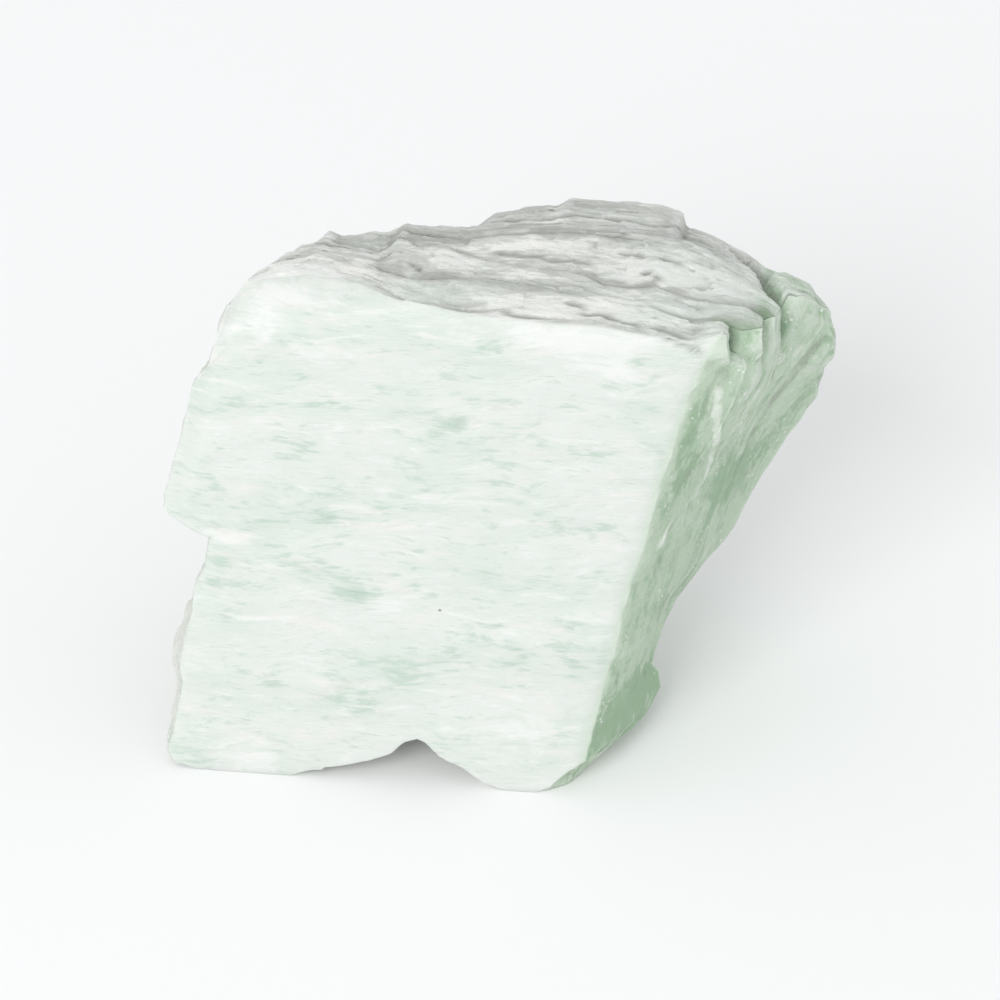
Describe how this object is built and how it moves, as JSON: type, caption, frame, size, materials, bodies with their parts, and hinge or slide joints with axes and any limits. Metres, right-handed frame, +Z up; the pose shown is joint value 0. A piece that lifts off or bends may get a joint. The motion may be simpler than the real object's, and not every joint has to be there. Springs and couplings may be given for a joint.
{
  "type": "rough amazonite",
  "caption": "Rough block of amazonite: flat streaked cleavage face in front, ledged broken top, two small lobes and worn patches underneath to rest on.",
  "frame": {"origin": "on the ground, under the middle of the stone's bounding box", "axes": "+Z up from the resting patches, -Y out of the broad streaked face, +X to that face's right"},
  "size_m": [0.0402, 0.0266, 0.0298],
  "materials": {
    "amazonite": "pale green and white feldspar, streaked along its cleavage sheets, with a satin sheen on the cleavage face and rough breaks"
  },
  "bodies": {
    "root": {"amazonite_block": "amazonite"}
  },
  "joints": []
}
